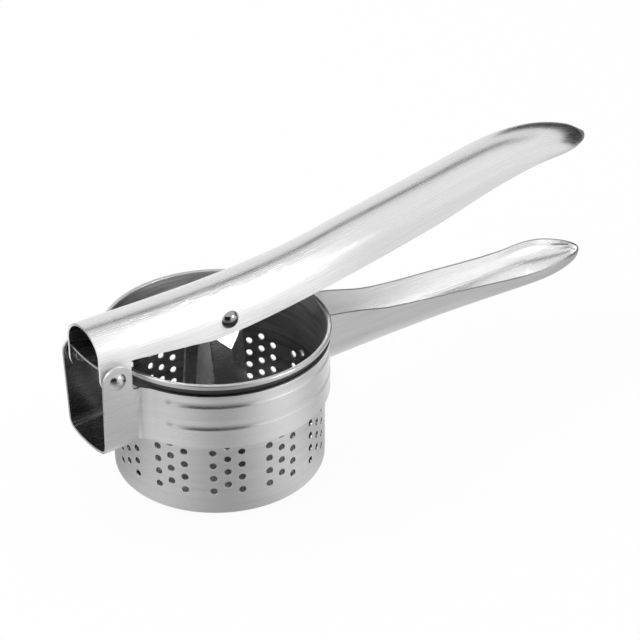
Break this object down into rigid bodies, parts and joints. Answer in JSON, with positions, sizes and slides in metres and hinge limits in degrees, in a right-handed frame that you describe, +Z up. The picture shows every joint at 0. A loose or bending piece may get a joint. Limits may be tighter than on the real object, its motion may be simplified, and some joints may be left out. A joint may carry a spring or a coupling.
{
  "type": "potato ricer",
  "caption": "Sheet-steel potato ricer: perforated basket in a strip holder with a trough handle, and a hinged channel lever that drives a press plate.",
  "frame": {"origin": "centre of the basket's underside, which the ricer stands on", "axes": "+Z up along the basket's axis, +X towards the ends of the two handles, +Y to the rear"},
  "size_m": [0.2459, 0.088, 0.0993],
  "materials": {
    "basket_steel": "satin",
    "holder_steel": "brushed",
    "handle_steel": "brushed",
    "lever_steel": "brushed",
    "plunger_steel": "satin",
    "fastener_steel": "polished"
  },
  "bodies": {
    "holder": {"holder_band": "holder_steel", "lower_handle": "handle_steel", "pivot_rivet_front": "fastener_steel", "pivot_rivet_rear": "fastener_steel", "pivot_washer_front": "fastener_steel", "pivot_washer_rear": "fastener_steel"},
    "cup": {"basket": "basket_steel"},
    "lever": {"upper_lever": "lever_steel", "lever_bridge": "lever_steel", "plunger_pin": "fastener_steel", "pin_washer_front": "fastener_steel", "pin_washer_rear": "fastener_steel"},
    "plunger": {"plunger_bracket": "plunger_steel", "press_plate": "plunger_steel"}
  },
  "joints": [
    {"name": "lever_hinge", "type": "hinge", "parent": "holder", "child": "lever", "pos_m": [-0.0518, 0, 0.0602], "axis": [0, -1, 0], "range_deg": [0, 60]},
    {"name": "plunger_swing", "type": "hinge", "parent": "lever", "child": "plunger", "pos_m": [-0.0009, 0, 0.067], "axis": [0, -1, 0], "range_deg": [-34.9, 0]},
    {"name": "basket_turn", "type": "hinge", "parent": "holder", "child": "cup", "pos_m": [0, 0, 0], "axis": [0, 0, 1], "continuous": true}
  ],
  "couplings": [
    {"joint": "plunger_swing", "follows": "lever_hinge", "ratio": -0.58}
  ]
}
